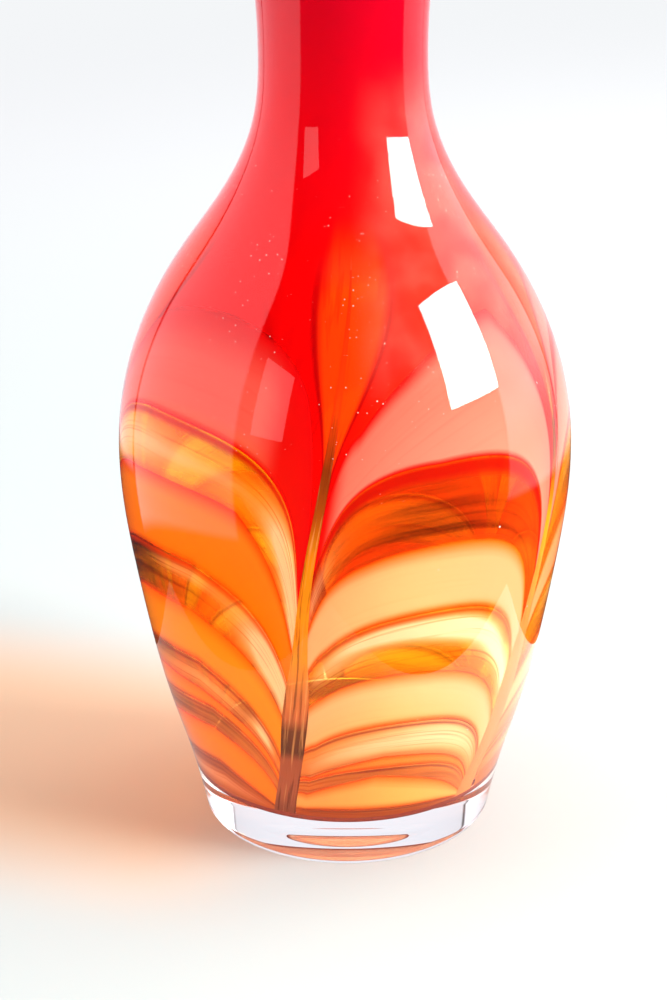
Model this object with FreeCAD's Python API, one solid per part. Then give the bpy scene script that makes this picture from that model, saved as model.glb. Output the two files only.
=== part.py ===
import FreeCAD, Part
import math
import os

# Hand blown cased glass vase, in millimetres, standing on z = 0 with its axis on Z.
# Angles run from -Y, the front, towards +X.

# Glass layers, measured square to the wall: clear outside, colour in the middle, clear inside
CASING_T = 3.5
COLOUR_T = 1.3
BUBBLE_T = 1.9
WALL_T = CASING_T + COLOUR_T + BUBBLE_T

# Outer profile from the heel to the lip: (radius, height)
OUTLINE = [
    (66.2, 4.2), (72.6, 31.0), (81.9, 62.0), (89.0, 93.0), (94.6, 124.0), (99.0, 155.0),
    (100.1, 176.0), (98.1, 201.5), (89.3, 232.5), (72.9, 263.5), (51.3, 294.5), (38.0, 325.5),
    (35.5, 354.0), (37.6, 388.0), (45.5, 425.4),
]
OFFSET_STEPS = 22

# Heavy clear bottom
FOOT_R = 62.0
HEEL_R = 4.2
CUP_FLOOR_Z = 22.5
CUP_CORNER_R = 13.0
PONTIL_R = 21.0
PONTIL_DEPTH = 1.6

# Decoration: a helical trail of opal glass, dragged down in uneven strokes of a pick
STEM_ANGLES = [0.0, 71.0, 139.0, 208.0, 278.0]
TURNS = 5
COLOUR_START_Z = 27.5
PULL_FOOT_Z = 28.0
PULL_DROP = 46.0
PULL_RISE = 44.0
PULL_REACH = 16.0
PULL_LEFT = 0.85
PULL_RIGHT = 1.3
THREAD_DEPTH = 0.3
THREAD_REACH = 3.0
THREAD_SOFT = 0.4
STEM_TOP_Z = 276.0

# How finely shapes are drawn, and how far cutting faces run past the colour layer
EDGE_STEPS = 18
STEM_STEPS = 16
STEM_OVERRUN = 2.0
MAX_SIDE = 240.0
CUT_OUTSIDE = 0.8
CUT_INSIDE = 4.0
SMOOTHING = 0.35
HALVINGS = 40
CORNER_ROUNDS = 4
EDGE_ROUNDS = 12

# The first pull line's angle, and a pull line's width, both against height
STEM_PATH = [(-26.0, 20.0), (-19.0, 50.0), (-14.5, 92.0), (-10.5, 150.0), (-5.0, 200.0), (3.0, 280.0)]
STEM_WIDTH = [(10.0, 20.0), (8.5, 48.0), (11.0, 78.0), (11.0, 92.0), (6.0, 115.0), (4.0, 150.0),
              (3.2, 200.0), (2.0, 280.0)]

# Crest heights of the edges of the clear windows between turns of the trail, against
# swag number along the helix. Swag 0 is the front right one; 4 and -1 are the front left one.
WINDOW_TOP = [(243.0, -4.5), (215.0, -1.1), (212.0, -0.6), (205.0, -0.1), (204.0, 0.5), (152.0, 3.7),
              (154.0, 4.1), (146.0, 4.45), (138.0, 4.6), (139.0, 5.4), (100.0, 8.7), (104.0, 9.1),
              (94.0, 9.45), (84.0, 9.6), (82.0, 10.4), (75.0, 13.8), (81.0, 14.15), (75.0, 14.45),
              (60.0, 14.6), (58.0, 15.4), (41.0, 18.8), (48.0, 19.15), (40.0, 19.45), (33.5, 19.6),
              (31.0, 20.5)]
WINDOW_BOTTOM = [(273.0, -9.5), (268.0, -8.0), (261.0, -6.4), (260.0, -5.6), (238.0, -5.4), (266.0, -4.8),
                 (240.0, -4.4), (188.0, -1.2), (188.0, -0.75), (175.0, -0.55), (171.0, -0.3), (169.0, 0.4),
                 (128.0, 3.7), (130.0, 4.1), (120.0, 4.45), (113.0, 4.6), (105.0, 5.4), (88.0, 8.7),
                 (89.0, 9.1), (82.0, 9.45), (63.0, 9.6), (66.0, 9.9), (63.0, 10.4), (63.0, 13.8),
                 (70.0, 14.15), (66.0, 14.45), (50.0, 14.6), (55.0, 14.9), (46.0, 15.4)]


def vector(radius, angle, z):
    """The point at a radius, an angle in degrees from the front and a height."""
    turn = math.radians(angle)
    return FreeCAD.Vector(radius * math.sin(turn), -radius * math.cos(turn), z)


def spline(points):
    """A smooth curve through points."""
    curve = Part.BSplineCurve()
    curve.interpolate(points)
    return curve


def read(table, at):
    """The value of a (value, position) table at a position, in straight steps."""
    for (v0, p0), (v1, p1) in zip(table, table[1:]):
        if at <= p1:
            break
    return v0 + (v1 - v0) * (at - p0) / (p1 - p0)


def smooth(table, at):
    """The value of a (value, position) table at a position, rounded between its rows."""
    spread = SMOOTHING * (table[-1][1] - table[0][1]) / len(table)
    samples = [read(table, min(max(at + spread * k / 2, table[0][1]), table[-1][1])) for k in range(-2, 3)]
    return sum(samples) / len(samples)


# The wall

OUTER = spline([FreeCAD.Vector(r, 0, z) for r, z in OUTLINE])


def parameter(share):
    """The outline's parameter, share of the way up."""
    return OUTER.FirstParameter + (OUTER.LastParameter - OUTER.FirstParameter) * share


def inward(share):
    """The direction square to the wall, towards its inside, share of the way up."""
    along = OUTER.tangent(parameter(share))[0]
    return FreeCAD.Vector(-along.z, 0, along.x)


def wall_point(depth, share):
    """The point of the wall's section at a depth below its outside, share of the way up."""
    return OUTER.value(parameter(share)) + inward(share) * depth


def share_at(depth, z):
    """How far up the section a height is, at a depth."""
    low, high = 0.0, 1.0
    for _ in range(HALVINGS):
        middle = (low + high) / 2
        if wall_point(depth, middle).z < z:
            low = middle
        else:
            high = middle
    return low


def radius(depth, z):
    """The radius of the wall at a depth and a height."""
    return wall_point(depth, share_at(depth, z)).x


def cup_edges(depth):
    """The section of a layer's surface from the axis, round the bottom corner and up to the lip."""
    floor_z = CUP_FLOOR_Z + depth - CASING_T
    corner_r = CUP_CORNER_R - depth + CASING_T
    start = share_at(depth, floor_z + corner_r)
    for _ in range(CORNER_ROUNDS):
        start = share_at(depth, floor_z + corner_r * (1 - inward(start).z))
    foot = wall_point(depth, start)
    side = inward(start)
    centre = foot + side * corner_r
    down = FreeCAD.Vector(0, 0, -1)
    middle = centre + (down - side).normalize() * corner_r
    corner_end = centre + down * corner_r
    axis_end = FreeCAD.Vector(0, 0, corner_end.z)
    steps = [start + (1 - start) * i / OFFSET_STEPS for i in range(OFFSET_STEPS + 1)]
    wall = spline([wall_point(depth, s) for s in steps])
    return [
        Part.makeLine(axis_end, corner_end),
        Part.Arc(corner_end, middle, foot).toShape(),
        wall.toShape(),
    ]


def spun(edges):
    """A solid of revolution about Z from the edges of a closed section."""
    face = Part.Face(Part.Wire(Part.__sortEdges__(edges)))
    return face.revolve(FreeCAD.Vector(0, 0, 0), FreeCAD.Vector(0, 0, 1), 360)


def layer(outer_depth, inner_depth):
    """The glass between two depths, from the axis to the lip."""
    outer, inner = cup_edges(outer_depth), cup_edges(inner_depth)
    top = Part.makeLine(wall_point(outer_depth, 1.0), wall_point(inner_depth, 1.0))
    axis = Part.makeLine(outer[0].Vertexes[0].Point, inner[0].Vertexes[0].Point)
    return spun(outer + inner + [top, axis])


def clear_casing():
    """The outer gather: heavy foot with its ground pontil, outer wall and fire-polished lip."""
    inner = cup_edges(CASING_T)
    lip_out, lip_in = wall_point(0, 1.0), wall_point(WALL_T, 1.0)
    upward = OUTER.tangent(OUTER.LastParameter)[0]
    lip_top = (lip_out + lip_in) / 2 + upward * (WALL_T / 2)
    heel = FreeCAD.Vector(OUTLINE[0][0], 0, OUTLINE[0][1])
    slant = HEEL_R * math.sqrt(0.5)
    heel_mid = FreeCAD.Vector(FOOT_R + slant, 0, HEEL_R - slant)
    foot = FreeCAD.Vector(FOOT_R, 0, 0)
    ground = FreeCAD.Vector(PONTIL_R, 0, 0)
    dish_mid = FreeCAD.Vector(PONTIL_R / 2, 0, PONTIL_DEPTH * 3 / 4)
    dish_top = FreeCAD.Vector(0, 0, PONTIL_DEPTH)
    edges = [
        Part.Arc(dish_top, dish_mid, ground).toShape(),
        Part.makeLine(ground, foot),
        Part.Arc(foot, heel_mid, heel).toShape(),
        OUTER.toShape(),
        Part.Arc(lip_out, lip_top, lip_in).toShape(),
        Part.makeLine(lip_in, wall_point(CASING_T, 1.0)),
        Part.makeLine(dish_top, inner[0].Vertexes[0].Point),
    ]
    return spun(edges + inner)


# The colour layer's pattern

def stem_angle(stem, z):
    """The angle of a pull line at a height; stem 5 is stem 0 a turn later."""
    turns, which = divmod(stem, len(STEM_ANGLES))
    return STEM_ANGLES[which] + 360.0 * turns + smooth(STEM_PATH, z)


def fan_face(places):
    """A face that crosses the colour layer square to the axis, through (angle, height) places."""
    outside, inside = [], []
    for angle, z in places:
        outside.append(vector(radius(CASING_T, z) + CUT_OUTSIDE, angle, z))
        inside.append(vector(radius(CASING_T + COLOUR_T, z) - CUT_INSIDE, angle, z))
    return Part.makeRuledSurface(spline(outside).toShape(), spline(inside).toShape())


def stem_wedge(stem):
    """A tapering wedge through the wall that holds one pull line."""
    low, high = COLOUR_START_Z - STEM_OVERRUN, STEM_TOP_Z
    sections = []
    for i in range(STEM_STEPS + 1):
        z = low + (high - low) * i / STEM_STEPS
        outside = radius(CASING_T, z) + CUT_OUTSIDE
        inside = radius(CASING_T + COLOUR_T, z) - CUT_INSIDE
        half = math.degrees(smooth(STEM_WIDTH, z) / 2 / outside)
        middle = stem_angle(stem, z)
        corners = [(outside, -half), (outside, half), (inside, half), (inside, -half)]
        points = [vector(r, middle + off, z) for r, off in corners]
        sections.append(Part.makePolygon(points + points[:1]))
    return Part.makeLoft(sections, True, False)


def pulled(crest, to_left, to_right):
    """The height that pull lines at two distances drag a crest down to."""
    thread = math.exp(-to_left / THREAD_REACH) + math.exp(-to_right / THREAD_REACH)
    drag = PULL_LEFT * math.exp(-to_left / PULL_REACH) + PULL_RIGHT * math.exp(-to_right / PULL_REACH)
    above = crest - PULL_FOOT_Z
    drop = PULL_DROP * (1 - math.exp(-above / PULL_RISE))
    return PULL_FOOT_Z + above * (1 - THREAD_DEPTH * thread) - drop * drag


def edge_place(swag, crest_table, along_helix, across):
    """A point of a combed edge, across from the swag's left pull line to its right one."""
    crest = read(crest_table, along_helix + across - 0.5)
    z = crest
    for _ in range(EDGE_ROUNDS):
        left, right = stem_angle(swag, z), stem_angle(swag + 1, z)
        width = math.radians(right - left) * radius(CASING_T, z)
        soft = THREAD_SOFT * smooth(STEM_WIDTH, z)
        z = pulled(crest, math.hypot(across * width, soft), math.hypot((1 - across) * width, soft))
        z = max(z, COLOUR_START_Z - STEM_OVERRUN)
    return left + (right - left) * across, z


def combed_edge(swag, crest_table, along_helix):
    """The face along one combed edge, its points crowded where it bends at the pull lines."""
    places = []
    for i in range(EDGE_STEPS + 1):
        across = 0.5 - 0.5 * math.cos(math.pi * i / EDGE_STEPS)
        places.append(edge_place(swag, crest_table, along_helix, across))
    return fan_face(places)


def swag_edges(swag):
    """The edges that part a swag's leaves and windows, from the top down."""
    first = swag - (len(STEM_ANGLES) if swag == 0 else 2 * len(STEM_ANGLES))
    edges = []
    for turn in range(TURNS + 1):
        along_helix = first + turn * len(STEM_ANGLES)
        if turn > 0:
            edges.append(combed_edge(swag, WINDOW_TOP, along_helix))
        if turn < TURNS:
            edges.append(combed_edge(swag, WINDOW_BOTTOM, along_helix))
    return edges


def split(solid, faces):
    """The solids that faces part a solid into, the largest first."""
    pieces = solid.generalFuse(faces)[1][0]
    return sorted(pieces, key=lambda piece: -piece.Volume)


def colour_layer():
    """The colour layer's nodes: cup floor, pull lines, turns of opal and amber, and ruby."""
    whole = layer(CASING_T, CASING_T + COLOUR_T)
    start = FreeCAD.Vector(-MAX_SIDE / 2, -MAX_SIDE / 2, COLOUR_START_Z)
    combed, floor = split(whole, [Part.makePlane(MAX_SIDE, MAX_SIDE, start)])
    nodes = {"colour_cup_floor": [floor]}
    rest = combed
    for stem in range(len(STEM_ANGLES)):
        wedge = stem_wedge(stem)
        nodes[f"pull_stem_{stem + 1}"] = combed.common(wedge).Solids
        rest = rest.cut(wedge)
    rest = rest.Solids[0]
    for turn in range(1, TURNS + 1):
        nodes[f"opal_turn_{turn}"] = []
        nodes[f"amber_turn_{turn}"] = []
    for swag in range(len(STEM_ANGLES)):
        rest, *bands = split(rest, swag_edges(swag))
        bands.sort(key=lambda band: -band.CenterOfMass.z)
        for turn in range(TURNS):
            nodes[f"opal_turn_{turn + 1}"].append(bands[2 * turn])
            nodes[f"amber_turn_{turn + 1}"].append(bands[2 * turn + 1])
    nodes["ruby_overlay"] = [rest]
    return nodes


def build():
    """Every node of the vase, each a list of its solids."""
    nodes = colour_layer()
    nodes["clear_casing"] = [clear_casing()]
    nodes["inner_bubble"] = [layer(CASING_T + COLOUR_T, WALL_T)]
    return nodes


os.makedirs("parts", exist_ok=True)
for name, solids in sorted(build().items()):
    shape = solids[0] if len(solids) == 1 else Part.makeCompound(solids)
    shape.exportStep(f"parts/{name}.step")
    print(name, len(solids), round(sum(solid.Volume for solid in solids) / 1000, 2), "cm3")
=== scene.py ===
import math

import bpy
import numpy as np
from mathutils import Matrix, Vector


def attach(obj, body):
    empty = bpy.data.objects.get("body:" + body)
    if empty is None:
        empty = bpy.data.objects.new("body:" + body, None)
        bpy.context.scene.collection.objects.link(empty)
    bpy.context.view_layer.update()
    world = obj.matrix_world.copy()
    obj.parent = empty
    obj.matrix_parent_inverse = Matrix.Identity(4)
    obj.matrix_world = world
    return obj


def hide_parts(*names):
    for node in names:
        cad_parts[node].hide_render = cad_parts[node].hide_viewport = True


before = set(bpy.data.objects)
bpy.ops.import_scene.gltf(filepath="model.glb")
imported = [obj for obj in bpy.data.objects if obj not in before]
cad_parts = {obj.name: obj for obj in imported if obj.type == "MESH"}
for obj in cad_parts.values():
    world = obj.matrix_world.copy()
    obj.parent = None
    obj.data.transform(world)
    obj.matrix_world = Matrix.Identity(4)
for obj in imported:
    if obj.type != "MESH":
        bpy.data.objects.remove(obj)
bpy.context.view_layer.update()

# Hand blown cased glass vase. Shapes are worked out in millimetres and written in metres.
# Angles run in degrees from -Y, the front, towards +X. Depths are square to the wall,
# from its outside.
MM = 0.001

# Glass layers; the coloured one stops a seam short of the casing and of the bubble
CASING_T = 3.5
COLOUR_T = 1.3
BUBBLE_T = 1.9
WALL_T = CASING_T + COLOUR_T + BUBBLE_T
SEAM = 0.04

# Outer profile from the heel to the lip: (radius, height)
OUTLINE = [
    (66.2, 4.2), (72.6, 31.0), (81.9, 62.0), (89.0, 93.0), (94.6, 124.0), (99.0, 155.0),
    (100.1, 176.0), (98.1, 201.5), (89.3, 232.5), (72.9, 263.5), (51.3, 294.5), (38.0, 325.5),
    (35.5, 354.0), (37.6, 388.0), (45.5, 425.4),
]
WALL_STEPS = 240
ROUND_STEPS = 216
CORNER_STEPS = 12
CENTRE_STEPS = 14
DISH_STEPS = 8
RING_STEPS = 10
HEEL_STEPS = 9
LIP_STEPS = 15
GORE_STEPS = 60
NECK_STEPS = 90
STEM_STEPS = 120
STEM_ACROSS_STEPS = 9
OUTLINE_SAMPLES = 1200
SHARP_ANGLE = 50.0

# Heavy clear bottom
FOOT_R = 62.0
HEEL_R = 4.2
CUP_FLOOR_Z = 22.5
CUP_CORNER_R = 13.0
PONTIL_R = 21.0
PONTIL_DEPTH = 1.6

# Decoration
STEM_ANGLES = [0.0, 71.0, 139.0, 208.0, 278.0]
TURNS = 5
COLOUR_START_Z = 27.5
PULL_FOOT_Z = 28.0
PULL_DROP = 46.0
PULL_RISE = 44.0
PULL_REACH = 16.0
PULL_LEFT = 0.85
PULL_RIGHT = 1.3
THREAD_DEPTH = 0.3
THREAD_REACH = 3.0
THREAD_SOFT = 0.4
STEM_TOP_Z = 276.0
RUBY_JOIN_Z = 282.0
STEM_PATH = [(-26.0, 20.0), (-19.0, 50.0), (-14.5, 92.0), (-10.5, 150.0), (-5.0, 200.0), (3.0, 280.0)]
STEM_WIDTH = [(10.0, 20.0), (8.5, 48.0), (11.0, 78.0), (11.0, 92.0), (6.0, 115.0), (4.0, 150.0),
              (3.2, 200.0), (2.0, 280.0)]
WINDOW_TOP = [(243.0, -4.5), (215.0, -1.1), (212.0, -0.6), (205.0, -0.1), (204.0, 0.5), (152.0, 3.7),
              (154.0, 4.1), (146.0, 4.45), (138.0, 4.6), (139.0, 5.4), (100.0, 8.7), (104.0, 9.1),
              (94.0, 9.45), (84.0, 9.6), (82.0, 10.4), (75.0, 13.8), (81.0, 14.15), (75.0, 14.45),
              (60.0, 14.6), (58.0, 15.4), (41.0, 18.8), (48.0, 19.15), (40.0, 19.45), (33.5, 19.6),
              (31.0, 20.5)]
WINDOW_BOTTOM = [(273.0, -9.5), (268.0, -8.0), (261.0, -6.4), (260.0, -5.6), (238.0, -5.4), (266.0, -4.8),
                 (240.0, -4.4), (188.0, -1.2), (188.0, -0.75), (175.0, -0.55), (171.0, -0.3), (169.0, 0.4),
                 (128.0, 3.7), (130.0, 4.1), (120.0, 4.45), (113.0, 4.6), (105.0, 5.4), (88.0, 8.7),
                 (89.0, 9.1), (82.0, 9.45), (63.0, 9.6), (66.0, 9.9), (63.0, 10.4), (63.0, 13.8),
                 (70.0, 14.15), (66.0, 14.45), (50.0, 14.6), (55.0, 14.9), (46.0, 15.4)]
ACROSS_STEPS = 80
EDGE_PASSES = 25
BAND_STEP = 1.5
RIM_GAP = 0.4

# A pull line's overlap with its neighbours, how far it stands proud of them, and its tip's length
STEM_OVERLAP = 0.25
STEM_PROUD = 0.12
STEM_TIP = 60.0

# The orange plume over each pull line: half its width at the bottom and how much wider it gets, in
# degrees, and the heights between which it opens, appears and fades
PLUME_HALF = 1.2
PLUME_SPREAD = 14.5
PLUME_OPENS = (196.0, 282.0)
PLUME_APPEARS = (180.0, 212.0)
PLUME_FADES = (318.0, 248.0)

# Looks of the windows that face the front, by (turn, swag): how red the amber is, the dark line
# along the top edge in mm, then soft patches of painted light, pale yellow for the bright far side
# seen through, and of painted shade, brown for the dark far side. A patch is its place across
# and down, its half width and half height, all in shares of the window, and its strength.
WINDOWS = {
    (0, 0): (0.85, 8.0, [(0.07, 0.62, 0.08, 0.30, 0.5)],
             [(0.46, 0.76, 0.25, 0.26, 1.0), (0.42, 0.42, 0.16, 0.30, 0.5), (0.16, 0.50, 0.05, 0.50, 0.5)]),
    (1, 0): (0.00, 3.0, [(0.40, 0.25, 0.17, 0.15, 1.4), (0.60, 0.34, 0.13, 0.17, 1.4),
                         (0.76, 0.50, 0.10, 0.22, 1.0), (0.90, 0.45, 0.08, 0.35, 0.9),
                         (0.20, 0.45, 0.12, 0.25, 0.5)],
             [(0.05, 0.60, 0.08, 0.35, 0.4), (0.50, 0.85, 0.30, 0.08, 0.2)]),
    (2, 0): (0.00, 2.5, [(0.62, 0.45, 0.24, 0.35, 0.8), (0.35, 0.60, 0.20, 0.30, 0.5)],
             [(0.12, 0.60, 0.12, 0.40, 0.2)]),
    (3, 0): (0.00, 2.0, [], [(0.45, 0.50, 0.40, 0.40, 0.9)]),
    (4, 0): (0.50, 1.5, [], [(0.50, 0.50, 0.50, 0.60, 0.5)]),
    (0, 4): (0.00, 4.0, [(0.12, 0.45, 0.16, 0.45, 0.9), (0.38, 0.52, 0.12, 0.30, 0.6),
                         (0.56, 0.58, 0.16, 0.14, 0.4), (0.85, 0.50, 0.09, 0.28, 1.6),
                         (0.95, 0.55, 0.08, 0.50, 1.5)], [(0.66, 0.16, 0.16, 0.12, 0.4)]),
    (1, 4): (0.15, 3.5, [(0.82, 0.50, 0.10, 0.42, 1.6), (0.55, 0.25, 0.12, 0.14, 0.4),
                         (0.94, 0.50, 0.06, 0.60, 0.8)],
             [(0.32, 0.42, 0.22, 0.80, 1.6), (0.52, 0.75, 0.10, 0.25, 0.4)]),
    (2, 4): (0.10, 3.0, [(0.82, 0.45, 0.05, 0.35, 1.0), (0.60, 0.60, 0.16, 0.25, 0.3)],
             [(0.35, 0.30, 0.30, 0.30, 0.7)]),
    (3, 4): (0.10, 2.5, [], [(0.50, 0.50, 0.40, 0.40, 0.8)]),
    (4, 4): (0.40, 2.5, [(0.45, 0.60, 0.30, 0.20, 0.3)], [(0.50, 0.20, 0.40, 0.20, 0.6)]),
}
# Windows that face away share one look, with the same patches of painted light and painted shade.
PLAIN_WINDOW = (0.15, 3.0, [(0.55, 0.35, 0.25, 0.20, 0.7)], [(0.25, 0.60, 0.20, 0.30, 0.3)])

# How pale the opal of each swag is
OPAL_PALE = [1.0, 0.75, 0.5, 0.3, 0.0]

# How far each pull line is washed out to light amber
STEM_PALE = [0.0, 0.85, 0.4, 0.3, 0.5]

# How far in the opal reaches its full body from its upper and lower edges, in mm; the highest
# leaf of each swag starts more softly and clear of its left pull line, and the leaf of one
# (turn, swag) stops short of its right one. Start and stop are shares of the way across.
OPAL_FADE = (9.0, 5.0)
LEAF_FADE = [(9.0, 2.5), (12.0, 3.0), (16.0, 4.0), (16.0, 4.0), (22.0, 4.0)]
LEAF_START = (0.07, 0.17)
SHORT_LEAF = (0, 4)
SHORT_LEAF_STOP = (0.76, 0.66)

# Crest heights over which each material's colours run: the lowest, and the span above it
OPAL_RUN = (30.0, 240.0)
AMBER_RUN = (30.0, 190.0)
STEM_RUN = (20.0, 240.0)

# Heights in metres over which the ruby's colours run: the lowest, and the span above it
RUBY_RUN = (0.16, 0.22)

# Camera: its place in mm, its angles in degrees, and its lens and sensor in mm
CAMERA_AT = (-5.45, -1032.2, 584.7)
CAMERA_PITCH = 22.84
CAMERA_ROLL = 0.48
CAMERA_LENS = 90.05
CAMERA_SENSOR = 36.0

# Studio, in metres and degrees
BACKDROP = (244, 246, 248)
FLOOR_HALF = 6.0
FLOOR_DROP = 0.0004
TABLETOP_HALF = 0.19
TABLETOP_TURN = 38.0
LIGHT_TURN = 17.0
AIM_HEIGHT = 0.2


# Wall geometry

def spline_samples(points, count):
    """Points along a natural cubic spline through points, spaced by chord length."""
    p = np.array(points, float)
    at = np.concatenate([[0.0], np.cumsum(np.linalg.norm(np.diff(p, axis=0), axis=1))])
    n, gap = len(p), np.diff(at)
    system, right = np.zeros((n, n)), np.zeros((n, 2))
    system[0, 0] = system[-1, -1] = 1.0
    for i in range(1, n - 1):
        system[i, i - 1:i + 2] = gap[i - 1], 2 * (gap[i - 1] + gap[i]), gap[i]
        right[i] = 6 * ((p[i + 1] - p[i]) / gap[i] - (p[i] - p[i - 1]) / gap[i - 1])
    bend = np.linalg.solve(system, right)
    s = np.linspace(0.0, at[-1], count)
    k = np.clip(np.searchsorted(at, s) - 1, 0, n - 2)
    a, b, h = ((at[k + 1] - s) / gap[k])[:, None], ((s - at[k]) / gap[k])[:, None], gap[k][:, None]
    return a * p[k] + b * p[k + 1] + ((a ** 3 - a) * bend[k] + (b ** 3 - b) * bend[k + 1]) * h * h / 6


OUTER = spline_samples(OUTLINE, OUTLINE_SAMPLES)
ALONG = np.gradient(OUTER, axis=0)
ALONG /= np.linalg.norm(ALONG, axis=1)[:, None]
INWARD = np.stack([-ALONG[:, 1], ALONG[:, 0]], axis=1)


def wall_section(depth):
    """The wall's section at a depth, as rows of radius and height from the heel to the lip."""
    return OUTER + INWARD * depth


def radius_at(depth, z):
    """The wall's radius at a depth and a height."""
    section = wall_section(depth)
    return np.interp(z, section[:, 1], section[:, 0])


def unevenness(angle, z):
    """How far a hand-blown wall strays from round, in millimetres; none at the foot and lip."""
    turn = np.radians(angle)
    fade = np.clip((z - 12.0) / 50.0, 0.0, 1.0) * np.clip((424.0 - z) / 40.0, 0.0, 1.0)
    oval = 0.22 * np.sin(2 * turn + 0.8 + z / 150.0)
    wave = 0.12 * np.sin(3 * turn + 1.9 - z / 95.0) + 0.06 * np.sin(5 * turn + z / 48.0)
    return (oval + wave) * fade


def place(radius, angle, z):
    """Points in metres at radii, angles and heights, with the wall's unevenness."""
    turn = np.radians(angle)
    r = (radius + unevenness(angle, z) * np.clip(radius / 30.0, 0.0, 1.0)) * MM
    return np.stack([r * np.sin(turn), -r * np.cos(turn), z * MM + 0.0 * r], axis=-1)


def cup_section(depth, steps):
    """The section of a layer's surface from the axis, round the bottom corner and up to the lip."""
    floor_z = CUP_FLOOR_Z + depth - CASING_T
    corner_r = CUP_CORNER_R - depth + CASING_T
    section = wall_section(depth)
    start = np.searchsorted(section[:, 1], floor_z + corner_r)
    for _ in range(4):
        start = np.searchsorted(section[:, 1], floor_z + corner_r * (1 - INWARD[start][1]))
    inward = INWARD[start]
    centre = section[start] + inward * corner_r
    tilt = math.atan2(-inward[1], -inward[0])
    turns = np.linspace(-math.pi / 2, tilt, CORNER_STEPS)[:-1]
    corner = centre + corner_r * np.stack([np.cos(turns), np.sin(turns)], axis=1)
    out = np.linspace(0.0, centre[0], CENTRE_STEPS)[:-1]
    floor = np.stack([out, np.full_like(out, corner[0, 1])], axis=1)
    kept = np.linspace(start, len(section) - 1, steps).round().astype(int)
    return np.concatenate([floor, corner, section[kept]])


# Mesh building

def new_piece(name, verts, faces, materials, indices, attributes=None, sharp=None):
    """A piece on the root body from points, faces, materials and point attributes."""
    mesh = bpy.data.meshes.new(name)
    mesh.from_pydata([tuple(v) for v in verts], [], faces)
    for material in materials:
        mesh.materials.append(material)
    mesh.polygons.foreach_set("material_index", indices)
    for key, values in (attributes or {}).items():
        values = np.asarray(values, np.float32)
        kind = "FLOAT_VECTOR" if values.ndim == 2 else "FLOAT"
        layer = mesh.attributes.new(key, kind, "POINT")
        layer.data.foreach_set("vector" if values.ndim == 2 else "value", values.ravel())
    mesh.shade_smooth()
    if sharp:
        mesh.set_sharp_from_angle(angle=math.radians(sharp))
    mesh.update()
    piece = bpy.data.objects.new(name, mesh)
    bpy.context.scene.collection.objects.link(piece)
    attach(piece, "root")
    return piece


def spun(section, segment_materials):
    """Points, faces and material indices of a section turned about Z; a section's ends lie on the axis."""
    steps = ROUND_STEPS
    angles = np.arange(steps) * 360.0 / steps
    inner = section[1:-1]
    rings = [place(np.full(steps, r), angles, np.full(steps, z)) for r, z in inner]
    verts = [v for ring in rings for v in ring]
    first_pole, last_pole = len(verts), len(verts) + 1
    verts += [np.array([0, 0, section[0][1] * MM]), np.array([0, 0, section[-1][1] * MM])]
    faces, indices = [], []
    for k in range(steps):
        after = (k + 1) % steps
        faces.append((first_pole, after, k))
        indices.append(segment_materials[0])
        for i in range(len(inner) - 1):
            a, b = i * steps, (i + 1) * steps
            faces.append((a + k, a + after, b + after, b + k))
            indices.append(segment_materials[i + 1])
        last = (len(inner) - 1) * steps
        faces.append((last_pole, last + k, last + after))
        indices.append(segment_materials[-1])
    return verts, faces, indices


class Slabs:
    """Closed slabs of glass, gathered into one mesh: coloured outside, clear at the inside and sides."""

    def __init__(self):
        self.verts, self.faces, self.indices = [], [], []
        self.values = {}

    def add(self, angle, z, values, outside=CASING_T, inside=CASING_T + COLOUR_T, wraps=False):
        """One slab over a grid of angles and heights, with values for its material to read."""
        rows, columns = angle.shape
        base = len(self.verts)
        for depth in (outside + SEAM, inside - SEAM):
            self.verts.extend(place(radius_at(depth, z), angle, z).reshape(-1, 3))
            for key, grid in values.items():
                flat = grid.reshape(-1, 3) if grid.ndim == 3 else (grid + 0.0 * z).ravel()
                self.values.setdefault(key, []).extend(flat)
        back = base + rows * columns

        def corner(start, i, j):
            return start + i * columns + j % columns

        def add_side(i, j, down, along, turn):
            """A side face between outside and inside, one step down or along; turn -1 flips it."""
            side = [corner(base, i, j), corner(base, i + down, j + along),
                    corner(back, i + down, j + along), corner(back, i, j)]
            self.faces.append(tuple(side[::turn]))
            self.indices.append(1)

        last = columns if wraps else columns - 1
        for i in range(rows - 1):
            for j in range(last):
                quad = [(i, j), (i + 1, j), (i + 1, j + 1), (i, j + 1)]
                self.faces.append(tuple(corner(base, *q) for q in quad))
                self.indices.append(0)
                self.faces.append(tuple(corner(back, *q) for q in reversed(quad)))
                self.indices.append(1)
        for j in range(last):
            for i, turn in ((0, 1), (rows - 1, -1)):
                add_side(i, j, 0, 1, turn)
        if not wraps:
            for i in range(rows - 1):
                for j, turn in ((0, 1), (columns - 1, -1)):
                    add_side(i, j, 1, 0, turn)

    def piece(self, name, material, joint):
        """The gathered slabs as one piece."""
        return new_piece(name, self.verts, self.faces, [material, joint], self.indices, self.values,
                         sharp=SHARP_ANGLE)


# The combed pattern

def read(table, at):
    """Values of a (value, position) table at positions, in straight steps past its ends too."""
    values, places = np.array(table, float).T
    k = np.clip(np.searchsorted(places, at, side="left") - 1, 0, len(places) - 2)
    return values[k] + (values[k + 1] - values[k]) * (at - places[k]) / (places[k + 1] - places[k])


def smooth(table, at):
    """Values of a (value, position) table at positions, rounded between its rows."""
    low, high = table[0][1], table[-1][1]
    spread = 0.35 * (high - low) / len(table)
    return sum(read(table, np.clip(at + spread * k / 2, low, high)) for k in range(-2, 3)) / 5


def stem_angle(stem, z):
    """The angle of a pull line at heights; stem 5 is stem 0 a turn later."""
    turns, which = divmod(stem, len(STEM_ANGLES))
    return STEM_ANGLES[which] + 360.0 * turns + smooth(STEM_PATH, z)


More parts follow.
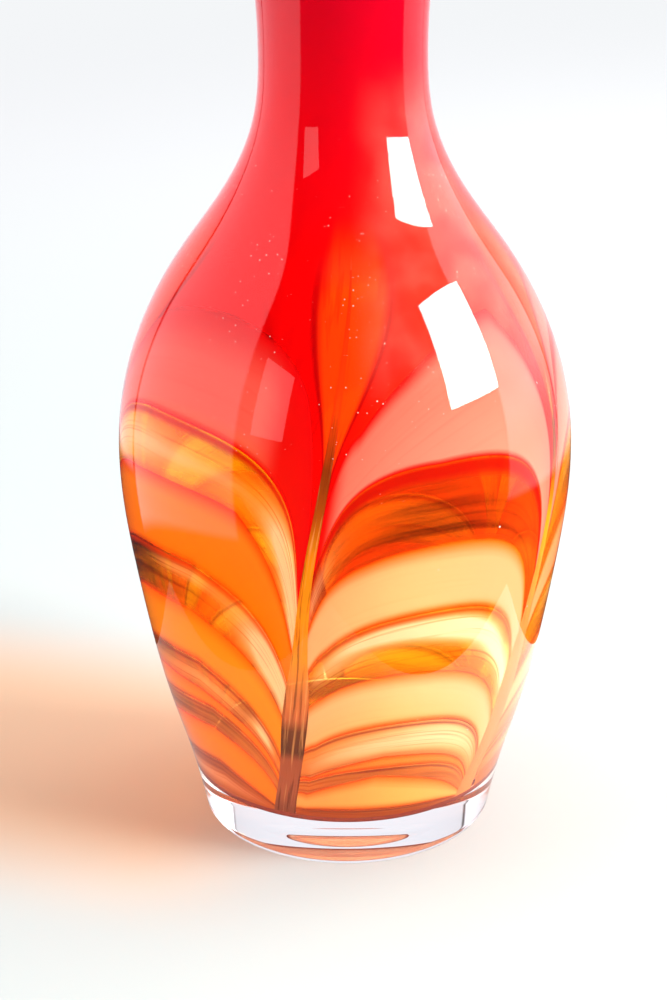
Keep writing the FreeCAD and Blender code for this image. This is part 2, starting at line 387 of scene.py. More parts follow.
def pulled(crest, to_left, to_right):
    """The heights that pull lines at two distances drag crests down to."""
    thread = np.exp(-to_left / THREAD_REACH) + np.exp(-to_right / THREAD_REACH)
    drag = PULL_LEFT * np.exp(-to_left / PULL_REACH) + PULL_RIGHT * np.exp(-to_right / PULL_REACH)
    above = crest - PULL_FOOT_Z
    drop = PULL_DROP * (1 - np.exp(-above / PULL_RISE))
    return PULL_FOOT_Z + above * (1 - THREAD_DEPTH * thread) - drop * drag


def edge_line(swag, crest_table, along_helix):
    """Angles, heights, crest heights and distances across of a combed edge between a swag's pull lines."""
    share = 0.5 - 0.5 * np.cos(np.linspace(0.0, math.pi, ACROSS_STEPS))
    across = share.copy()
    z = read(crest_table, along_helix + across - 0.5)
    for _ in range(EDGE_PASSES):
        left, right = stem_angle(swag, z), stem_angle(swag + 1, z)
        width = np.radians(right - left) * radius_at(CASING_T, z)
        thick = smooth(STEM_WIDTH, z)
        margin = 0.5 * thick / width
        across = margin + (1 - 2 * margin) * share
        crest = read(crest_table, along_helix + across - 0.5)
        soft = THREAD_SOFT * thick
        target = pulled(crest, np.hypot(across * width, soft), np.hypot((1 - across) * width, soft))
        z = 0.5 * z + 0.5 * np.maximum(target, COLOUR_START_Z + RIM_GAP)
    return left + (right - left) * across, z, crest, across * width


def swag_lines(swag):
    """The combed edges of a swag from the top down, and the colour layer's lower rim."""
    first = swag - (len(STEM_ANGLES) if swag == 0 else 2 * len(STEM_ANGLES))
    lines = []
    for turn in range(TURNS + 1):
        along_helix = first + turn * len(STEM_ANGLES)
        if turn > 0:
            lines.append(edge_line(swag, WINDOW_TOP, along_helix))
        if turn < TURNS:
            lines.append(edge_line(swag, WINDOW_BOTTOM, along_helix))
    angle, z, _, across = lines[-1]
    rim = np.full_like(z, COLOUR_START_Z)
    lines.append((angle, rim, rim, across))
    return lines


def rise(value, start, end):
    """A soft step from 0 at start to 1 at end."""
    t = np.clip((value - start) / (end - start), 0.0, 1.0)
    return t * t * (3 - 2 * t)


def patches(spots, across, down):
    """Soft patches added up over a window, kept under 1."""
    total = 0.0 * (across + down)
    for u, v, wide, high, strength in spots:
        total = total + strength * np.exp(-((across - u) / wide) ** 2 - ((down - v) / high) ** 2)
    return np.minimum(total, 1.0)


def add_band(slabs, upper, lower, turn, swag, amber):
    """Adds the slab of opal or amber between two combed edges."""
    thick = float(np.max(upper[2] - lower[2]))
    rows = max(6, int(thick / BAND_STEP))
    down = np.linspace(0.0, 1.0, rows)[:, None]
    across = np.linspace(0.0, 1.0, ACROSS_STEPS)[None, :]
    angle, z, crest, run = (a + (b - a) * down for a, b in zip(upper, lower))
    top = (upper[2] - lower[2]) * down
    low = (upper[2] - lower[2]) * (1 - down)
    own_noise = np.full_like(top, 31.0 * swag + 7.0 * turn)
    flow = np.stack([run, top, own_noise], axis=-1)
    values = {"flow": flow, "crest": crest}
    if amber:
        warm, line, painted_light, brown = WINDOWS.get((turn, swag), PLAIN_WINDOW)
        values["warm"] = np.full_like(top, warm)
        # Patches of painted light for the bright far side seen through, and of painted shade for its dark
        # parts
        values["glow"] = patches(painted_light, across, down)
        values["shade"] = patches(brown, across, down)
        values["line"] = rise(top, 0.0, 0.6) * rise(top, 1.25 * line, 0.6 * line)
        values["seam"] = rise(low, 3.5, 0.8)
    else:
        values["pale"] = np.full_like(top, OPAL_PALE[swag])
        fade, low_fade = LEAF_FADE[swag] if turn == 0 else OPAL_FADE
        leaf = rise(across, *SHORT_LEAF_STOP) if (turn, swag) == SHORT_LEAF else 1.0
        if turn == 0:
            leaf = leaf * rise(across, *LEAF_START)
        values["body"] = rise(top, 0.0, fade) * rise(low, 0.0, low_fade) * leaf
        values["edge"] = rise(top, 0.0, 2.0) * rise(low, 0.0, 2.4)
    slabs.add(angle, z, values)


# Materials

def linear(red, green, blue):
    """A scene colour from screen values of 0 to 255."""
    parts = [c / 255.0 for c in (red, green, blue)]
    return tuple(c / 12.92 if c <= 0.04045 else ((c + 0.055) / 1.055) ** 2.4 for c in parts) + (1.0,)


class Nodes:
    """The node tree of a material or world, built one call at a time."""

    def __init__(self, owner):
        self.owner = owner
        self.owner.use_nodes = True
        self.tree = self.owner.node_tree
        self.tree.nodes.clear()

    def add(self, kind, settings=None, **inputs):
        """A node with settings and inputs; an input is a value or another node's output."""
        node = self.tree.nodes.new(kind)
        for key, value in (settings or {}).items():
            setattr(node, key, value)
        for key, value in inputs.items():
            name = int(key[1:]) if key[0] == "_" and key[1:].isdigit() else key.replace("_", " ")
            if isinstance(value, bpy.types.NodeSocket):
                self.tree.links.new(value, node.inputs[name])
            else:
                node.inputs[name].default_value = value
        return node

    def value(self, name):
        """A point attribute as a number."""
        return self.add("ShaderNodeAttribute", {"attribute_name": name}).outputs["Fac"]

    def vector(self, name):
        """A point attribute as a vector."""
        return self.add("ShaderNodeAttribute", {"attribute_name": name}).outputs["Vector"]

    def where(self):
        """The place in the shared frame, in metres."""
        return self.add("ShaderNodeTexCoord").outputs["Object"]

    def split(self, vector):
        """The X, Y and Z of a vector."""
        return self.add("ShaderNodeSeparateXYZ", Vector=vector).outputs

    def length(self, vector):
        """The length of a vector."""
        return self.add("ShaderNodeVectorMath", {"operation": "LENGTH"}, _0=vector).outputs["Value"]

    def maths(self, operation, a, b=0.0, clamp=False):
        """The outcome of a sum on one or two numbers."""
        return self.add("ShaderNodeMath", {"operation": operation, "use_clamp": clamp}, _0=a, _1=b).outputs[0]

    def times(self, first, *others):
        """The product of numbers."""
        product = first
        for other in others:
            product = self.maths("MULTIPLY", product, other)
        return product

    def along(self, value, start, span):
        """How far a value has come along a span, from 0 to 1."""
        return self.maths("DIVIDE", self.maths("SUBTRACT", value, start), span, True)

    def noise(self, where, scale, detail):
        """Cloudy noise from 0 to 1."""
        return self.add("ShaderNodeTexNoise", Vector=where, Scale=scale, Detail=detail).outputs["Fac"]

    def step(self, value, start, end, low=0.0, high=1.0):
        """A soft step of a value from low at start to high at end."""
        settings = {"interpolation_type": "SMOOTHSTEP"}
        return self.add("ShaderNodeMapRange", settings, Value=value, From_Min=start, From_Max=end,
                        To_Min=low, To_Max=high).outputs["Result"]

    def ramp(self, value, stops):
        """A colour ramp over positions and colours."""
        node = self.add("ShaderNodeValToRGB", Fac=value)
        elements = node.color_ramp.elements
        elements[0].position, elements[0].color = stops[0]
        elements[1].position, elements[1].color = stops[-1]
        for position, colour in stops[1:-1]:
            elements.new(position).color = colour
        return node.outputs["Color"]

    def blend(self, share, a, b, kind="MIX"):
        """Two colours mixed by a share."""
        settings = {"data_type": "RGBA", "blend_type": kind}
        node = self.add("ShaderNodeMix", settings)
        for socket, value in ((node.inputs[0], share), (node.inputs[6], a), (node.inputs[7], b)):
            if isinstance(value, bpy.types.NodeSocket):
                self.tree.links.new(value, socket)
            else:
                socket.default_value = value
        return node.outputs[2]

    def streaks(self, along, across, detail, seed):
        """Noise drawn out along the combed flow."""
        flow = self.add("ShaderNodeMapping", {"vector_type": "POINT"}, Vector=self.vector("flow"),
                        Location=(seed, seed * 1.7, seed * 0.3), Scale=(along, across, 1.0)).outputs[0]
        noise = self.add("ShaderNodeTexNoise", Vector=flow, Scale=1.0, Detail=detail, Roughness=0.55)
        return noise.outputs["Fac"]

    def mix(self, share, a, b):
        """Two shaders mixed by a share of the second."""
        node = self.add("ShaderNodeMixShader", _0=share)
        self.tree.links.new(a.outputs[0], node.inputs[1])
        self.tree.links.new(b.outputs[0], node.inputs[2])
        return node

    def finish(self, shader, output="ShaderNodeOutputMaterial"):
        """Shows a shader on the surface and gives the finished material or world."""
        out = self.add(output)
        self.tree.links.new(shader.outputs[0], out.inputs["Surface"])
        return self.owner

    def finish_glass(self, colour, thin, glow, through, dense):
        """Coloured glass: as much of a cloudy body over its thin colour as dense says.

        The body scatters its own colour back, and a share of it passes light on in the glow colour.
        """
        clear = self.add("ShaderNodeBsdfTransparent", Color=thin)
        back = self.add("ShaderNodeBsdfDiffuse", Color=colour)
        onward = self.add("ShaderNodeBsdfTranslucent", Color=glow)
        return self.finish(self.mix(dense, clear, self.mix(through, back, onward)))


def material_nodes(name):
    """The empty node tree of a new material."""
    return Nodes(bpy.data.materials.new(name))


def dust_specks(n, where, size):
    """Fine dust specks on the shoulder, in patches, and a few larger ones all over."""
    height = n.split(where)["Z"]
    dusty = n.times(n.step(height, 0.16, 0.24), n.step(height, 0.36, 0.30))
    fine = n.add("ShaderNodeTexVoronoi", Vector=where, Scale=560.0, Randomness=1.0).outputs
    chosen = n.maths("GREATER_THAN", fine["Color"], 0.70)
    reach = n.times(n.step(size, 0.40, 0.66, 0.05, 0.17), dusty, chosen)
    lone = n.add("ShaderNodeTexVoronoi", Vector=where, Scale=55.0, Randomness=1.0).outputs["Distance"]
    near = n.maths("LESS_THAN", fine["Distance"], reach)
    return n.maths("MAXIMUM", near, n.maths("LESS_THAN", lone, 0.022))


def dust_film(n, where, size):
    """A thin film of dust on the front right of the shoulder."""
    x, y, height = n.split(where)
    shoulder = n.times(n.step(height, 0.225, 0.25), n.step(height, 0.36, 0.32))
    front_right = n.times(shoulder, n.step(x, 0.0, 0.025), n.step(y, 0.0, -0.02))
    return n.times(front_right, n.step(size, 0.35, 0.65, 0.02, 0.08))


def clear_glass(name, dusty):
    """Clear glass that lets lamps through, with dust specks and a dusty film if it is dusty."""
    n = material_nodes(name)
    surface = n.add("ShaderNodeBsdfGlass", Color=(0.985, 0.992, 1.0, 1), Roughness=0.0, IOR=1.5)
    if dusty:
        where = n.where()
        size = n.noise(where, 38.0, 3.0)
        warm = n.add("ShaderNodeBsdfDiffuse", Color=linear(255, 215, 180))
        white = n.add("ShaderNodeBsdfDiffuse", Color=linear(255, 240, 225))
        surface = n.mix(dust_film(n, where, size), surface, warm)
        surface = n.mix(n.times(dust_specks(n, where, size), 0.7), surface, white)
    path = n.add("ShaderNodeLightPath").outputs
    passing = n.maths("MAXIMUM", path["Is Shadow Ray"], path["Is Diffuse Ray"])
    clear = n.add("ShaderNodeBsdfTransparent", Color=(1, 1, 1, 1))
    return n.finish(n.mix(passing, surface, clear))


def fused_joint():
    """The unseen surface where two masses of glass are fused."""
    n = material_nodes("fused_joint")
    return n.finish(n.add("ShaderNodeBsdfTransparent", Color=(1, 1, 1, 1)))


def opal_glass():
    """Opal trail: salmon under the ruby, orange to peach lower down, redder and thinner at its edges."""
    n = material_nodes("opal_glass")
    share = n.along(n.value("crest"), *OPAL_RUN)
    deep = n.ramp(share, [
        (0.0, linear(252, 142, 15)), (0.15, linear(254, 148, 15)), (0.35, linear(254, 168, 30)),
        (0.5, linear(254, 140, 5)), (0.62, linear(254, 152, 35)), (0.72, linear(254, 135, 60)),
        (0.8, linear(252, 118, 95)), (1.0, linear(250, 95, 85))])
    pale = n.ramp(share, [
        (0.0, linear(254, 188, 90)), (0.15, linear(254, 196, 100)), (0.3, linear(254, 212, 138)),
        (0.55, linear(254, 202, 130)), (0.64, linear(254, 185, 118)), (0.74, linear(254, 140, 112)),
        (0.86, linear(252, 122, 98)), (1.0, linear(250, 95, 85))])
    rim = n.ramp(share, [
        (0.0, linear(240, 120, 30)), (0.3, linear(250, 130, 20)), (0.5, linear(252, 130, 5)),
        (0.62, linear(250, 105, 5)), (0.72, linear(235, 25, 10)), (1.0, linear(228, 3, 12))])
    middle = n.blend(n.value("pale"), deep, pale)
    fine = n.streaks(0.012, 0.5, 4.0, 3.0)
    inside = n.times(n.value("body"), n.step(fine, 0.2, 0.5, 0.85, 1.0))
    # Painted shade: darker, pinker opal on the window's side below the shoulder.
    painted_window_side = n.times(n.step(n.split(n.where())["X"], 0.015, 0.07), n.step(share, 0.75, 0.6))
    middle = n.blend(painted_window_side, middle, n.blend(1.0, middle, linear(250, 222, 232), "MULTIPLY"))
    colour = n.blend(inside, rim, middle)
    dense = n.maths("ADD", n.times(n.value("edge"), 0.8), 0.14)
    return n.finish_glass(colour, rim, n.blend(0.4, colour, rim), 0.35, dense)


def amber_glass():
    """Combed clear amber between the turns, with painted light and shade of the far side and a dark upper
    line.
    """
    n = material_nodes("amber_glass")
    share = n.along(n.value("crest"), *AMBER_RUN)
    gold = n.ramp(share, [
        (0.0, linear(250, 160, 70)), (0.3, linear(254, 188, 85)), (0.42, linear(254, 205, 40)),
        (0.55, linear(254, 198, 12)), (1.0, linear(254, 200, 18))])
    red = n.ramp(share, [(0.0, linear(205, 85, 35)), (0.4, linear(240, 125, 45)), (1.0, linear(248, 75, 2))])
    fine = n.streaks(0.010, 0.60, 4.0, 11.0)
    broad = n.streaks(0.008, 0.20, 2.0, 5.0)
    colour = n.blend(n.value("warm"), gold, red)
    colour = n.blend(n.step(fine, 0.44, 0.30, 0.0, 0.6), colour, linear(205, 95, 15))
    # Painted shade: brown patches where the dark far side shows through the amber.
    brown = n.times(n.value("shade"), n.step(broad, 0.62, 0.36, 0.45, 1.0))
    colour = n.blend(brown, colour, linear(112, 42, 14))
    # Painted light: pale yellow patches where the bright far side shows through, broken by the combed
    # streaks; the glass is clouded there too.
    painted_light = n.times(n.value("glow"), n.step(fine, 0.30, 0.48, 0.45, 1.0))
    colour = n.blend(n.times(painted_light, 0.95), colour, linear(255, 250, 195))
    edge = n.ramp(share, [(0.0, linear(120, 55, 40)), (0.4, linear(165, 45, 20)), (0.62, linear(225, 90, 5)),
                          (0.8, linear(190, 15, 8)), (1.0, linear(205, 0, 10))])
    line = n.maths("MAXIMUM", n.value("line"), n.times(n.value("seam"), 0.45))
    colour = n.blend(n.times(line, 0.9), colour, edge)
    cloudy = n.maths("ADD", n.times(painted_light, 0.8), n.times(line, 0.3))
    cloudy = n.maths("ADD", cloudy, n.step(share, 0.42, 0.22, 0.16, 0.55))
    return n.finish_glass(colour, colour, colour, 0.5, n.maths("MINIMUM", cloudy, 0.92))


def ruby_glass():
    """Ruby overlay: crimson neck, scarlet shoulder, and orange plumes with dark red sides."""
    n = material_nodes("ruby_glass")
    where = n.where()
    axes = n.split(where)
    share = n.along(axes["Z"], *RUBY_RUN)
    cloud = n.noise(where, 16.0, 3.0)
    red = n.ramp(share, [
        (0.0, linear(225, 10, 0)), (0.3, linear(228, 2, 2)), (0.55, linear(238, 0, 6)),
        (0.8, linear(228, 0, 32)), (1.0, linear(214, 0, 38))])
    # Painted light: clouded orange glow on the window's side of the lower shoulder.
    painted_window_side = n.times(n.step(axes["X"], -0.015, 0.05), n.step(share, 0.75, 0.5))
    red = n.blend(n.times(painted_window_side, n.step(cloud, 0.35, 0.6, 0.3, 0.7)), red, linear(250, 62, 25))
    streak = n.streaks(0.35, 0.03, 3.0, 1.0)
    plume_colour = n.blend(n.step(streak, 0.52, 0.72, 0.0, 0.55), linear(254, 84, 6), linear(205, 30, 4))
    amount = n.value("plume")
    dark_sides = n.times(n.step(amount, 0.02, 0.18, 0.0, 0.7), n.step(amount, 0.55, 0.25))
    red = n.blend(n.times(dark_sides, n.step(share, 0.62, 0.42)), red, linear(165, 0, 3))
    colour = n.blend(n.step(amount, 0.22, 0.8, 0.0, 0.92), red, plume_colour)
    return n.finish_glass(colour, colour, colour, 0.45, n.step(share, 0.0, 0.6, 0.5, 0.72))


def brown_glass():
    """Pull lines: brown threads at the foot, amber where they spread, thin and dark towards the tip."""
    n = material_nodes("brown_glass")
    share = n.along(n.value("crest"), *STEM_RUN)
    fine = n.streaks(0.55, 0.02, 4.0, 2.0)
    base = n.ramp(share, [
        (0.0, linear(135, 75, 50)), (0.08, linear(180, 112, 75)), (0.165, linear(170, 105, 70)),
        (0.185, linear(105, 68, 42)), (0.235, linear(120, 78, 46)), (0.262, linear(205, 130, 78)),
        (0.32, linear(240, 160, 80)), (0.4, linear(254, 185, 50)), (0.58, linear(254, 180, 25)),
        (0.68, linear(170, 95, 20)), (0.76, linear(140, 66, 14)), (0.86, linear(235, 75, 8)),
        (1.0, linear(250, 62, 8))])
    dark = n.blend(n.step(share, 0.9, 0.75, 0.0, 0.6), base, linear(80, 38, 22))
    light = n.blend(n.step(share, 0.9, 0.75, 0.0, 0.5), base, linear(254, 215, 130))
    colour = n.blend(n.step(fine, 0.36, 0.46), dark, base)
    colour = n.blend(n.step(fine, 0.56, 0.68), colour, light)
    washed = n.times(n.value("pale"), n.step(share, 0.62, 0.38))
    colour = n.blend(washed, colour, linear(248, 160, 85))
    return n.finish_glass(colour, colour, colour, 0.4, 0.72)


def floor_glass():
    """The colour layer's closed bottom: pale and cloudy in the middle, maroon round its corner."""
    n = material_nodes("floor_glass")
    where = n.where()
    flat = n.add("ShaderNodeVectorMath", {"operation": "MULTIPLY"}, _0=where, _1=(1.0, 1.0, 0.0)).outputs[0]
    out = n.length(flat)
    cloud = n.step(n.noise(where, 45.0, 4.0), 0.35, 0.65)
    middle = n.blend(cloud, linear(248, 200, 165), linear(254, 222, 195))
    colour = n.blend(n.step(out, 0.052, 0.058), middle, linear(160, 80, 62))
    thin = n.add("ShaderNodeBsdfTransparent", Color=colour)
    diffuse = n.add("ShaderNodeBsdfDiffuse", Color=colour)
    return n.finish(n.mix(0.5, thin, diffuse))


# Pieces

def finish_piece(piece, slot, *nodes):
    """Hides the model's parts that a piece stands in for; the slot is not used."""
    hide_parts(*nodes)
    return piece


def build_casing(glass, joint):
    """The outer gather: heavy foot with its polished pontil dish, outer wall, lip and fused inside."""
    dish = [(PONTIL_R * s, PONTIL_DEPTH * (1 - s * s)) for s in np.linspace(0.0, 1.0, DISH_STEPS)]
    ring = [(r, 0.0) for r in np.linspace(PONTIL_R, FOOT_R, RING_STEPS)[1:]]
    turns = np.linspace(-math.pi / 2, 0.0, HEEL_STEPS)[1:-1]
    heel = [(FOOT_R + HEEL_R * math.cos(t), HEEL_R + HEEL_R * math.sin(t)) for t in turns]
    kept = np.linspace(0, len(OUTER) - 1, WALL_STEPS).round().astype(int)
    lip_out, lip_in = OUTER[-1], wall_section(WALL_T)[-1]
    middle, half = (lip_out + lip_in) / 2, WALL_T / 2
    across, up = -INWARD[-1], ALONG[-1]
    lip = [middle + half * (across * math.cos(t) + up * math.sin(t))
           for t in np.linspace(0, math.pi, LIP_STEPS)[1:]]
    inner = cup_section(CASING_T, WALL_STEPS)[::-1]
    outside = [*dish, *ring, *heel, *OUTER[kept], *lip]
    section = np.array([*outside, *inner])
    kinds = [0] * (len(outside) - 1) + [1] * (len(section) - len(outside))
    verts, faces, indices = spun(section, kinds)
    piece = new_piece("clear_casing_glass", verts, faces, [glass, joint], indices, sharp=SHARP_ANGLE)
    return finish_piece(piece, "clear_glass", "clear_casing")


def build_bubble(glass, joint):
    """The clear starting bubble, fused outside and open to the air inside."""
    outer = cup_section(CASING_T + COLOUR_T, WALL_STEPS)
    inner = cup_section(WALL_T, WALL_STEPS)[::-1]
    section = np.concatenate([outer, inner])
    kinds = [1] * len(outer) + [0] * (len(inner) - 1)
    verts, faces, indices = spun(section, kinds)
    piece = new_piece("inner_bubble_glass", verts, faces, [glass, joint], indices, sharp=SHARP_ANGLE)
    return finish_piece(piece, "bubble_glass", "inner_bubble")


def build_cup_floor(material, joint):
    """The colour layer below the pattern, from the axis to its rim."""
    def part(depth):
        section = cup_section(depth, WALL_STEPS)
        below = section[section[:, 1] < COLOUR_START_Z - 0.05]
        edge = np.interp(COLOUR_START_Z, section[:, 1], section[:, 0])
        return np.concatenate([below, [[edge, COLOUR_START_Z]]])

    outer, inner = part(CASING_T + SEAM), part(CASING_T + COLOUR_T - SEAM)[::-1]
    section = np.concatenate([outer, inner])
    kinds = [0] * (len(outer) - 1) + [1] * len(inner)
    verts, faces, indices = spun(section, kinds)
    piece = new_piece("colour_cup_floor_glass", verts, faces, [material, joint], indices)
    return finish_piece(piece, "floor_glass", "colour_cup_floor")


def build_stem(stem, material, joint):
    """One pull line, from the cup floor to its tip."""
    z = np.linspace(COLOUR_START_Z, STEM_TOP_Z, STEM_STEPS)[::-1, None]
    share = np.linspace(-1.0, 1.0, STEM_ACROSS_STEPS)[None, :]
    half = smooth(STEM_WIDTH, z) / 2 + STEM_OVERLAP
    tip = np.clip((STEM_TOP_Z - z) / STEM_TIP, 0.05, 1.0) ** 0.5
    angle = stem_angle(stem, z) + np.degrees(half * tip / radius_at(CASING_T, z)) * share
    heights = z + 0 * share
    own_noise = np.full_like(angle, stem * 7.0)
    flow = np.stack([half * share + 0 * z, heights, own_noise], axis=-1)
    values = {"flow": flow, "crest": heights, "pale": np.full_like(angle, STEM_PALE[stem])}
    slabs = Slabs()
    slabs.add(angle, heights, values, CASING_T - STEM_PROUD, CASING_T + COLOUR_T - STEM_PROUD)
    piece = slabs.piece(f"pull_stem_{stem + 1}_glass", material, joint)
    return finish_piece(piece, "brown_glass", f"pull_stem_{stem + 1}")


def from_stem(angle, z):
    """The angle in degrees from the nearest pull line, carried on above its tip."""
    reach = np.stack([(angle - stem_angle(stem, z) + 180.0) % 360.0 - 180.0
                      for stem in range(len(STEM_ANGLES))])
    nearest = np.abs(reach).argmin(axis=0)
    return np.take_along_axis(reach, nearest[None], axis=0)[0]


def plume_half(z):
    """Half the plume's width in degrees; it opens like a flame."""
    return PLUME_HALF + PLUME_SPREAD * rise(z, *PLUME_OPENS)


def plume(angle, z):
    """How much of the orange plume there is in the ruby over each pull line."""
    half = plume_half(z)
    beside = np.abs(from_stem(angle, z) - 0.1 * half)
    core = 1 - rise(beside, 0.45 * half, 1.15 * half)
    return core * rise(z, *PLUME_APPEARS) * rise(z, *PLUME_FADES)


def ruby_values(angle, z):
    """What the ruby's material reads: the plume, and streaks that fan out from the pull lines."""
    spread = from_stem(angle, z) / plume_half(z)
    return {"flow": np.stack([12.0 * spread, z, 0.0 * z], axis=-1), "plume": plume(angle, z)}


def gore(swag, top_edge):
    """The angles and heights of the ruby from a swag's top edge up to the join at the shoulder."""
    angle, z = top_edge[:2]
    share = np.linspace(0.0, 1.0, GORE_STEPS)[:, None]
    heights = RUBY_JOIN_Z + (z - RUBY_JOIN_Z) * share
    left, right = stem_angle(swag, RUBY_JOIN_Z), stem_angle(swag + 1, RUBY_JOIN_Z)
    fan = (angle - stem_angle(swag, z)) / (stem_angle(swag + 1, z) - stem_angle(swag, z))
    starts = left + (right - left) * (fan - fan[0]) / (fan[-1] - fan[0])
    lean = stem_angle(swag, heights) - stem_angle(swag, z)
    return angle + lean + (starts - angle - (left - stem_angle(swag, z))) * (1 - share), heights


def build_ruby(lines, material, joint):
    """The ruby overlay: gores between the pull lines, and the shoulder and neck above them."""
    slabs = Slabs()
    for swag, edges in enumerate(lines):
        angles, heights = gore(swag, edges[0])
        slabs.add(angles, heights, ruby_values(angles, heights))
    top = wall_section(CASING_T)[-1, 1]
    z = np.linspace(top - 0.3, RUBY_JOIN_Z, NECK_STEPS)[:, None]
    angles = np.arange(ROUND_STEPS)[None, :] * 360.0 / ROUND_STEPS + 0 * z
    heights = z + 0 * angles
    slabs.add(angles, heights, ruby_values(angles, heights), wraps=True)
    return finish_piece(slabs.piece("ruby_overlay_glass", material, joint), "ruby_glass", "ruby_overlay")


def build_turns(lines, opal, amber, joint):
    """The turns of opal trail and of amber between them."""
    for turn in range(TURNS):
        for name, material, upper in (("opal", opal, 2 * turn), ("amber", amber, 2 * turn + 1)):
            slabs = Slabs()
            for swag, edges in enumerate(lines):
                add_band(slabs, edges[upper], edges[upper + 1], turn, swag, name == "amber")
            piece = slabs.piece(f"{name}_turn_{turn + 1}_glass", material, joint)
            finish_piece(piece, f"{name}_glass", f"{name}_turn_{turn + 1}")


# Studio

def direction(azimuth, elevation):
    """A unit vector at an azimuth from the front and an elevation."""
    a, e = math.radians(azimuth), math.radians(elevation)
    return Vector((math.sin(a) * math.cos(e), -math.cos(a) * math.cos(e), math.sin(e)))


def flat_panel(name, corners, material):
    """A flat panel in the scene, from its corners in order."""
    mesh = bpy.data.meshes.new(name)
    mesh.from_pydata(corners, [], [tuple(range(len(corners)))])
    mesh.materials.append(material)
    panel = bpy.data.objects.new(name, mesh)
    bpy.context.scene.collection.objects.link(panel)
    return panel


def square(half, z, turn=0.0):
    """The corners of a square round the axis, from half its side, its height and its turn."""
    turned = Matrix.Rotation(math.radians(turn), 3, "Z")
    signs = ((-1, -1), (1, -1), (1, 1), (-1, 1))
    return [turned @ Vector((i * half, j * half, z)) for i, j in signs]


def emitter(name, corners, strength):
    """A glowing panel with corners as (azimuth, elevation, distance in metres), unseen by the camera."""
    n = material_nodes(name)
    material = n.finish(n.add("ShaderNodeEmission", Color=(1, 1, 1, 1), Strength=strength))
    centre = Vector((0, 0, AIM_HEIGHT))
    panel = flat_panel(name, [centre + direction(a, e) * d for a, e, d in corners], material)
    panel.visible_camera = False


def coloured_light(n, where):
    """Where the window's light falls on the floor after it has passed through the vase."""
    turn = n.add("ShaderNodeVectorRotate", {"rotation_type": "Z_AXIS"}, Vector=where,
                 Angle=math.radians(LIGHT_TURN))
    x, y, _ = n.split(turn.outputs[0])
    away = n.times(x, -1.0)
    along = n.times(n.step(away, 0.0, 0.08), n.step(away, 0.60, 0.22))
    return n.times(along, n.step(n.maths("ABSOLUTE", y), 0.15, 0.05))


def floor_table():
    """The plain pale floor, which the camera sees a little darker, with painted coloured light left of the
    vase.

    Far off it turns into the backdrop for the camera.
    """
    n = material_nodes("floor")
    where = n.where()
    far = n.length(where)
    colour = n.blend(n.step(far, 0.15, 1.2), linear(240, 230, 220), linear(226, 229, 232))
    seen = n.blend(n.step(far, 0.15, 1.4), linear(187, 194, 191), linear(203, 204, 204))
    # Painted light: the vase's coloured light, tinting the floor the camera sees left of the vase.
    seen = n.blend(coloured_light(n, where), seen, n.blend(1.0, seen, (1.45, 0.95, 0.66, 1.0), "MULTIPLY"))
    camera = n.add("ShaderNodeLightPath").outputs["Is Camera Ray"]
    table = n.add("ShaderNodeBsdfDiffuse", Color=n.blend(camera, colour, seen))
    backdrop = n.add("ShaderNodeEmission", Color=linear(*BACKDROP), Strength=1.0)
    return n.finish(n.mix(n.times(camera, n.step(far, 0.9, 1.9)), table, backdrop))


def tabletop_glow():
    """A sunlit tabletop's light, brighter on the window's side."""
    n = material_nodes("tabletop_glow")
    bright = n.step(n.split(n.where())["X"], 0.03, 0.16, 0.42, 1.8)
    return n.finish(n.add("ShaderNodeEmission", Color=linear(250, 246, 242), Strength=bright))


def build_floor():
    """The floor, unseen by reflections, and a glowing tabletop that only reflections see."""
    floor = flat_panel("floor", square(FLOOR_HALF, -FLOOR_DROP), floor_table())
    floor.visible_glossy = False
    corners = square(TABLETOP_HALF, -FLOOR_DROP / 2, TABLETOP_TURN)
    near = flat_panel("tabletop_glow", corners, tabletop_glow())
    near.visible_camera = near.visible_diffuse = near.visible_transmission = near.visible_shadow = False


def build_world():
    """Soft room light: bright walls left, right and behind, a dim side behind the camera."""
    world = bpy.data.worlds.new("room")
    bpy.context.scene.world = world
    n = Nodes(world)
    x, y, z = n.split(n.add("ShaderNodeTexCoord").outputs["Generated"])
    azimuth = n.times(n.maths("ARCTAN2", x, n.times(y, -1.0)), math.degrees(1.0))
    elevation = n.times(n.maths("ARCSINE", z), math.degrees(1.0))

    def between(low, high):
        """1 between two azimuths and 0 elsewhere, with soft edges."""
        soft = 1.2
        return n.times(n.step(azimuth, low - soft, low + soft), n.step(azimuth, high + soft, high - soft))

    above_left = n.step(elevation, -28.0, -25.5)
    above = n.step(elevation, -21.5, -19.5)
    left = n.times(between(-132.0, -57.0), n.step(elevation, -10.0, 25.0, 1.2, 1.5), above_left)
    right = n.times(between(88.0, 134.0), n.step(elevation, -12.0, 3.0, 1.15, 2.7), above)
    behind = n.maths("ADD", n.step(azimuth, 134.0, 136.0), n.step(azimuth, -133.0, -135.0))
    light = n.maths("ADD", left, right)
    light = n.maths("ADD", light, n.times(behind, above))
    light = n.maths("ADD", light, n.step(elevation, 52.0, 62.0, 0.0, 0.6))
    light = n.maths("ADD", light, n.step(elevation, -60.0, 40.0, 0.05, 0.03))
    path = n.add("ShaderNodeLightPath").outputs
    tint = n.blend(path["Is Glossy Ray"], linear(250, 250, 255), linear(250, 249, 255))
    room = n.add("ShaderNodeBackground", Color=tint, Strength=light)
    seen = n.add("ShaderNodeBackground", Color=linear(*BACKDROP), Strength=1.0)
    n.finish(n.mix(path["Is Camera Ray"], room, seen), "ShaderNodeOutputWorld")


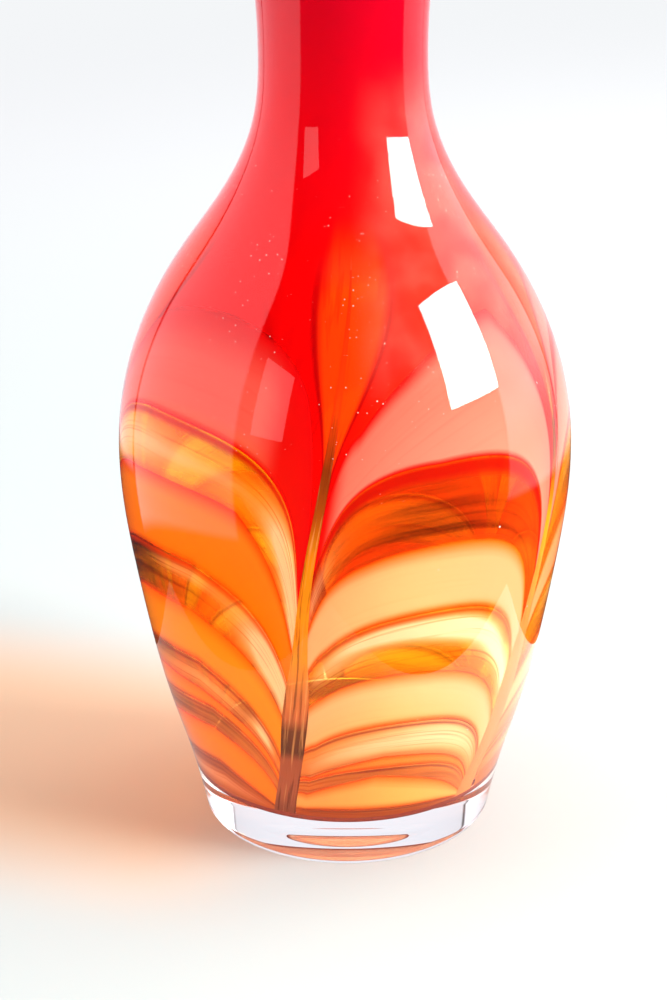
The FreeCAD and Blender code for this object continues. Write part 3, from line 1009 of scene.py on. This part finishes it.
def build_camera():
    """A fixed camera a little above the vase, looking down at it."""
    pitch, roll = math.radians(CAMERA_PITCH), math.radians(CAMERA_ROLL)
    level, steep = Vector((1, 0, 0)), Vector((0, math.sin(pitch), math.cos(pitch)))
    right = math.cos(roll) * level - math.sin(roll) * steep
    up = math.cos(roll) * steep + math.sin(roll) * level
    back = right.cross(up)
    data = bpy.data.cameras.new("camera")
    data.lens, data.sensor_width = CAMERA_LENS, CAMERA_SENSOR
    camera = bpy.data.objects.new("camera", data)
    place_at = Matrix.Translation(Vector(CAMERA_AT) * MM)
    camera.matrix_world = place_at @ Matrix((right, up, back)).transposed().to_4x4()
    bpy.context.scene.collection.objects.link(camera)
    bpy.context.scene.camera = camera


def build_light():
    """The window on the right and a fainter one on the left."""
    emitter("window", [(55.3, 12.0, 2.6), (87.5, 8.5, 3.1), (93.0, 33.0, 3.1), (56.5, 41.7, 2.6)], 26.0)
    emitter("faint_window", [(-47.8, 6.5, 3.0), (-31.0, 7.0, 3.0), (-28.5, 27.5, 3.0), (-46.6, 30.0, 3.0)],
            1.6)


def set_rendering():
    """Enough bounces for glass in glass, and colour shown as it is."""
    scene = bpy.context.scene
    scene.cycles.max_bounces = 16
    scene.cycles.transmission_bounces = 14
    scene.cycles.glossy_bounces = 8
    scene.cycles.diffuse_bounces = 4
    scene.cycles.transparent_max_bounces = 48
    scene.cycles.sample_clamp_indirect = 6.0
    scene.cycles.use_denoising = True
    scene.view_settings.view_transform = "Standard"
    scene.view_settings.look = "None"
    scene.view_settings.exposure = 0.0


build_camera()
set_rendering()
build_world()
build_light()
build_floor()
outer_glass, inner_glass = clear_glass("clear_glass", True), clear_glass("bubble_glass", False)
joint_glass = fused_joint()
build_casing(outer_glass, joint_glass)
build_bubble(inner_glass, joint_glass)
build_cup_floor(floor_glass(), joint_glass)
all_lines = [swag_lines(swag) for swag in range(len(STEM_ANGLES))]
build_ruby(all_lines, ruby_glass(), joint_glass)
build_turns(all_lines, opal_glass(), amber_glass(), joint_glass)
stem_material = brown_glass()
for stem_number in range(len(STEM_ANGLES)):
    build_stem(stem_number, stem_material, joint_glass)
